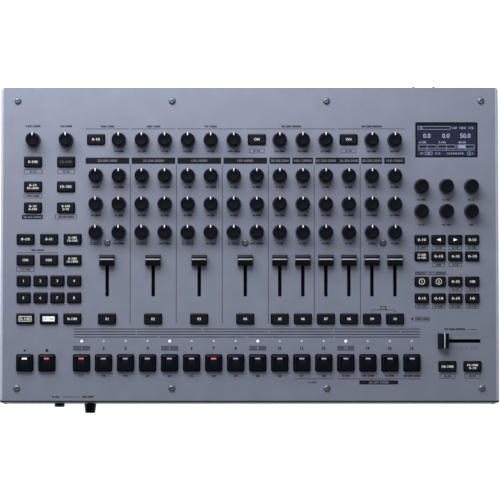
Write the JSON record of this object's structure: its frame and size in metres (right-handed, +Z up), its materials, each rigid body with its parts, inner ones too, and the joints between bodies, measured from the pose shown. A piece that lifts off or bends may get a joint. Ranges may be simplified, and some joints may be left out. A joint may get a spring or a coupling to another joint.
{
  "type": "drum machine",
  "caption": "Desktop drum machine: sloping grey panel with knobs, faders, buttons, step keys, a display window and sockets.",
  "frame": {"origin": "on the table, under the middle of the object's bounding box", "axes": "+X to the player's right, +Y to the rear, +Z up"},
  "size_m": [0.486, 0.3242, 0.0802],
  "materials": {
    "panel_paint": "satin metallic grey paint",
    "case_paint": "matt black powder coat",
    "side_metal": "satin anodised",
    "screw_steel": "bright plated",
    "foot_rubber": "matt",
    "window_glass": "clear, printed black at the back edge",
    "screen": "dark indigo screen",
    "lamp_pipe": "clear diffusing",
    "board": "green solder mask",
    "inner_plastic": "moulded",
    "pot_body": "moulded",
    "slide_metal": "pressed sheet",
    "socket_plastic": "moulded black",
    "phones_plastic": "moulded black",
    "hook_plastic": "moulded black",
    "knob_plastic": "fine matt",
    "fader_plastic": "satin",
    "button_plastic": "satin",
    "key_plastic": "semi-gloss"
  },
  "bodies": {
    "case": {"top_panel": "panel_paint", "bottom_case": "case_paint", "left_side_panel": "side_metal", "right_side_panel": "side_metal", "case_screws": "screw_steel", "rubber_feet": "foot_rubber", "display_window": "window_glass", "display_module": "screen", "beat_lamps": "lamp_pipe", "circuit_boards": "board", "switch_bodies": "inner_plastic", "potentiometers": "pot_body", "slide_potentiometers": "slide_metal", "line_jacks": "socket_plastic", "phones_jack": "phones_plastic", "data_and_power_ports": "socket_plastic", "cord_hook": "hook_plastic", "strip_knobs": "knob_plastic"},
    "volume_knob_body": {"volume_knob": "knob_plastic"},
    "input_level_knob_body": {"input_level_knob": "knob_plastic"},
    "accent_knob_body": {"accent_knob": "knob_plastic"},
    "reverb_level_knob_body": {"reverb_level_knob": "knob_plastic"},
    "reverb_time_knob_body": {"reverb_time_knob": "knob_plastic"},
    "delay_level_knob_body": {"delay_level_knob": "knob_plastic"},
    "delay_time_knob_body": {"delay_time_knob": "knob_plastic"},
    "delay_feedback_knob_body": {"delay_feedback_knob": "knob_plastic"},
    "master_effect_knob_1_body": {"master_effect_knob_1": "knob_plastic"},
    "master_effect_knob_2_body": {"master_effect_knob_2": "knob_plastic"},
    "master_effect_knob_3_body": {"master_effect_knob_3": "knob_plastic"},
    "analog_effect_knob_1_body": {"analog_effect_knob_1": "knob_plastic"},
    "analog_effect_knob_2_body": {"analog_effect_knob_2": "knob_plastic"},
    "encoder_knob_1_body": {"encoder_knob_1": "knob_plastic"},
    "encoder_knob_2_body": {"encoder_knob_2": "knob_plastic"},
    "encoder_knob_3_body": {"encoder_knob_3": "knob_plastic"},
    "encoder_knob_4_body": {"encoder_knob_4": "knob_plastic"},
    "encoder_knob_5_body": {"encoder_knob_5": "knob_plastic"},
    "encoder_knob_6_body": {"encoder_knob_6": "knob_plastic"},
    "level_fader_1_body": {"level_fader_1": "fader_plastic"},
    "level_fader_2_body": {"level_fader_2": "fader_plastic"},
    "level_fader_3_body": {"level_fader_3": "fader_plastic"},
    "level_fader_4_body": {"level_fader_4": "fader_plastic"},
    "level_fader_5_body": {"level_fader_5": "fader_plastic"},
    "level_fader_6_body": {"level_fader_6": "fader_plastic"},
    "level_fader_7_body": {"level_fader_7": "fader_plastic"},
    "level_fader_8_body": {"level_fader_8": "fader_plastic"},
    "level_fader_9_body": {"level_fader_9": "fader_plastic"},
    "level_fader_10_body": {"level_fader_10": "fader_plastic"},
    "morph_fader_body": {"morph_fader": "fader_plastic"},
    "phones_volume_knob_body": {"phones_volume_knob": "knob_plastic"},
    "power_switch_body": {"power_switch": "button_plastic"},
    "start_key_body": {"start_key": "key_plastic"},
    "stop_key_body": {"stop_key": "key_plastic"},
    "step_keys_body": {"step_keys": "key_plastic"},
    "mode_buttons_body": {"mode_buttons": "button_plastic"},
    "pattern_buttons_body": {"pattern_buttons": "button_plastic"},
    "variation_buttons_body": {"variation_buttons": "button_plastic"},
    "effect_buttons_body": {"effect_buttons": "button_plastic"},
    "instrument_buttons_body": {"instrument_buttons": "button_plastic"},
    "menu_buttons_body": {"menu_buttons": "button_plastic"},
    "performance_buttons_body": {"performance_buttons": "button_plastic"}
  },
  "joints": [
    {"name": "volume_knob_turn", "type": "hinge", "parent": "case", "child": "volume_knob_body", "pos_m": [-0.2109, 0.1021, 0.0668], "axis": [0, -0.0698, 0.9976], "range_deg": [-150, 150]},
    {"name": "input_level_knob_turn", "type": "hinge", "parent": "case", "child": "input_level_knob_body", "pos_m": [-0.1787, 0.1021, 0.0668], "axis": [0, -0.0698, 0.9976], "range_deg": [-150, 150]},
    {"name": "accent_knob_turn", "type": "hinge", "parent": "case", "child": "accent_knob_body", "pos_m": [-0.1272, 0.1021, 0.0668], "axis": [0, -0.0698, 0.9976], "range_deg": [-150, 150]},
    {"name": "reverb_level_knob_turn", "type": "hinge", "parent": "case", "child": "reverb_level_knob_body", "pos_m": [-0.1048, 0.1021, 0.0668], "axis": [0, -0.0698, 0.9976], "range_deg": [-150, 150]},
    {"name": "reverb_time_knob_turn", "type": "hinge", "parent": "case", "child": "reverb_time_knob_body", "pos_m": [-0.0824, 0.1021, 0.0668], "axis": [0, -0.0698, 0.9976], "range_deg": [-150, 150]},
    {"name": "delay_level_knob_turn", "type": "hinge", "parent": "case", "child": "delay_level_knob_body", "pos_m": [-0.06, 0.1021, 0.0668], "axis": [0, -0.0698, 0.9976], "range_deg": [-150, 150]},
    {"name": "delay_time_knob_turn", "type": "hinge", "parent": "case", "child": "delay_time_knob_body", "pos_m": [-0.0376, 0.1021, 0.0668], "axis": [0, -0.0698, 0.9976], "range_deg": [-150, 150]},
    {"name": "delay_feedback_knob_turn", "type": "hinge", "parent": "case", "child": "delay_feedback_knob_body", "pos_m": [-0.0152, 0.1021, 0.0668], "axis": [0, -0.0698, 0.9976], "range_deg": [-150, 150]},
    {"name": "master_effect_knob_1_turn", "type": "hinge", "parent": "case", "child": "master_effect_knob_1_body", "pos_m": [0.0296, 0.1021, 0.0668], "axis": [0, -0.0698, 0.9976], "range_deg": [-150, 150]},
    {"name": "master_effect_knob_2_turn", "type": "hinge", "parent": "case", "child": "master_effect_knob_2_body", "pos_m": [0.052, 0.1021, 0.0668], "axis": [0, -0.0698, 0.9976], "range_deg": [-150, 150]},
    {"name": "master_effect_knob_3_turn", "type": "hinge", "parent": "case", "child": "master_effect_knob_3_body", "pos_m": [0.0744, 0.1021, 0.0668], "axis": [0, -0.0698, 0.9976], "range_deg": [-150, 150]},
    {"name": "analog_effect_knob_1_turn", "type": "hinge", "parent": "case", "child": "analog_effect_knob_1_body", "pos_m": [0.1192, 0.1021, 0.0668], "axis": [0, -0.0698, 0.9976], "range_deg": [-150, 150]},
    {"name": "analog_effect_knob_2_turn", "type": "hinge", "parent": "case", "child": "analog_effect_knob_2_body", "pos_m": [0.1416, 0.1021, 0.0668], "axis": [0, -0.0698, 0.9976], "range_deg": [-150, 150]},
    {"name": "encoder_knob_1_turn", "type": "hinge", "parent": "case", "child": "encoder_knob_1_body", "pos_m": [0.1676, 0.05691, 0.06364], "axis": [0, -0.0698, 0.9976], "continuous": true},
    {"name": "encoder_knob_2_turn", "type": "hinge", "parent": "case", "child": "encoder_knob_2_body", "pos_m": [0.1919, 0.05691, 0.06364], "axis": [0, -0.0698, 0.9976], "continuous": true},
    {"name": "encoder_knob_3_turn", "type": "hinge", "parent": "case", "child": "encoder_knob_3_body", "pos_m": [0.2162, 0.05691, 0.06364], "axis": [0, -0.0698, 0.9976], "continuous": true},
    {"name": "encoder_knob_4_turn", "type": "hinge", "parent": "case", "child": "encoder_knob_4_body", "pos_m": [0.1676, 0.03267, 0.06195], "axis": [0, -0.0698, 0.9976], "continuous": true},
    {"name": "encoder_knob_5_turn", "type": "hinge", "parent": "case", "child": "encoder_knob_5_body", "pos_m": [0.1919, 0.03267, 0.06195], "axis": [0, -0.0698, 0.9976], "continuous": true},
    {"name": "encoder_knob_6_turn", "type": "hinge", "parent": "case", "child": "encoder_knob_6_body", "pos_m": [0.2162, 0.03267, 0.06195], "axis": [0, -0.0698, 0.9976], "continuous": true},
    {"name": "level_fader_1_slide", "type": "slide", "parent": "case", "child": "level_fader_1_body", "axis": [0, -0.9976, -0.0698], "range_m": [0, 0.033]},
    {"name": "level_fader_2_slide", "type": "slide", "parent": "case", "child": "level_fader_2_body", "axis": [0, -0.9976, -0.0698], "range_m": [0, 0.033]},
    {"name": "level_fader_3_slide", "type": "slide", "parent": "case", "child": "level_fader_3_body", "axis": [0, -0.9976, -0.0698], "range_m": [0, 0.033]},
    {"name": "level_fader_4_slide", "type": "slide", "parent": "case", "child": "level_fader_4_body", "axis": [0, -0.9976, -0.0698], "range_m": [0, 0.033]},
    {"name": "level_fader_5_slide", "type": "slide", "parent": "case", "child": "level_fader_5_body", "axis": [0, -0.9976, -0.0698], "range_m": [0, 0.033]},
    {"name": "level_fader_6_slide", "type": "slide", "parent": "case", "child": "level_fader_6_body", "axis": [0, -0.9976, -0.0698], "range_m": [0, 0.033]},
    {"name": "level_fader_7_slide", "type": "slide", "parent": "case", "child": "level_fader_7_body", "axis": [0, -0.9976, -0.0698], "range_m": [0, 0.033]},
    {"name": "level_fader_8_slide", "type": "slide", "parent": "case", "child": "level_fader_8_body", "axis": [0, -0.9976, -0.0698], "range_m": [0, 0.033]},
    {"name": "level_fader_9_slide", "type": "slide", "parent": "case", "child": "level_fader_9_body", "axis": [0, -0.9976, -0.0698], "range_m": [0, 0.033]},
    {"name": "level_fader_10_slide", "type": "slide", "parent": "case", "child": "level_fader_10_body", "axis": [0, -0.9976, -0.0698], "range_m": [0, 0.033]},
    {"name": "morph_fader_slide", "type": "slide", "parent": "case", "child": "morph_fader_body", "axis": [1, 0, 0], "range_m": [0, 0.033]},
    {"name": "phones_volume_turn", "type": "hinge", "parent": "case", "child": "phones_volume_knob_body", "pos_m": [-0.1564, -0.15248, 0.023], "axis": [0, -1, 0], "range_deg": [-150, 150]},
    {"name": "power_switch_press", "type": "slide", "parent": "case", "child": "power_switch_body", "axis": [0, -1, 0], "range_m": [0, 0.0025], "stiffness_N_per_m": 400, "springref_m": -0.001},
    {"name": "start_key_press", "type": "slide", "parent": "case", "child": "start_key_body", "axis": [0, 0.0698, -0.9976], "range_m": [0, 0.002], "stiffness_N_per_m": 400, "springref_m": -0.001},
    {"name": "stop_key_press", "type": "slide", "parent": "case", "child": "stop_key_body", "axis": [0, 0.0698, -0.9976], "range_m": [0, 0.002], "stiffness_N_per_m": 400, "springref_m": -0.001},
    {"name": "step_keys_press", "type": "slide", "parent": "case", "child": "step_keys_body", "axis": [0, 0.0698, -0.9976], "range_m": [0, 0.002], "stiffness_N_per_m": 6400, "springref_m": -0.001},
    {"name": "mode_buttons_press", "type": "slide", "parent": "case", "child": "mode_buttons_body", "axis": [0, 0.0698, -0.9976], "range_m": [0, 0.0012], "stiffness_N_per_m": 2400, "springref_m": -0.001},
    {"name": "pattern_buttons_press", "type": "slide", "parent": "case", "child": "pattern_buttons_body", "axis": [0, 0.0698, -0.9976], "range_m": [0, 0.0012], "stiffness_N_per_m": 3600, "springref_m": -0.001},
    {"name": "variation_buttons_press", "type": "slide", "parent": "case", "child": "variation_buttons_body", "axis": [0, 0.0698, -0.9976], "range_m": [0, 0.0012], "stiffness_N_per_m": 3200, "springref_m": -0.001},
    {"name": "effect_buttons_press", "type": "slide", "parent": "case", "child": "effect_buttons_body", "axis": [0, 0.0698, -0.9976], "range_m": [0, 0.0012], "stiffness_N_per_m": 1200, "springref_m": -0.001},
    {"name": "instrument_buttons_press", "type": "slide", "parent": "case", "child": "instrument_buttons_body", "axis": [0, 0.0698, -0.9976], "range_m": [0, 0.0012], "stiffness_N_per_m": 4000, "springref_m": -0.001},
    {"name": "menu_buttons_press", "type": "slide", "parent": "case", "child": "menu_buttons_body", "axis": [0, 0.0698, -0.9976], "range_m": [0, 0.0012], "stiffness_N_per_m": 6400, "springref_m": -0.001},
    {"name": "performance_buttons_press", "type": "slide", "parent": "case", "child": "performance_buttons_body", "axis": [0, 0.0698, -0.9976], "range_m": [0, 0.0012], "stiffness_N_per_m": 800, "springref_m": -0.001}
  ]
}
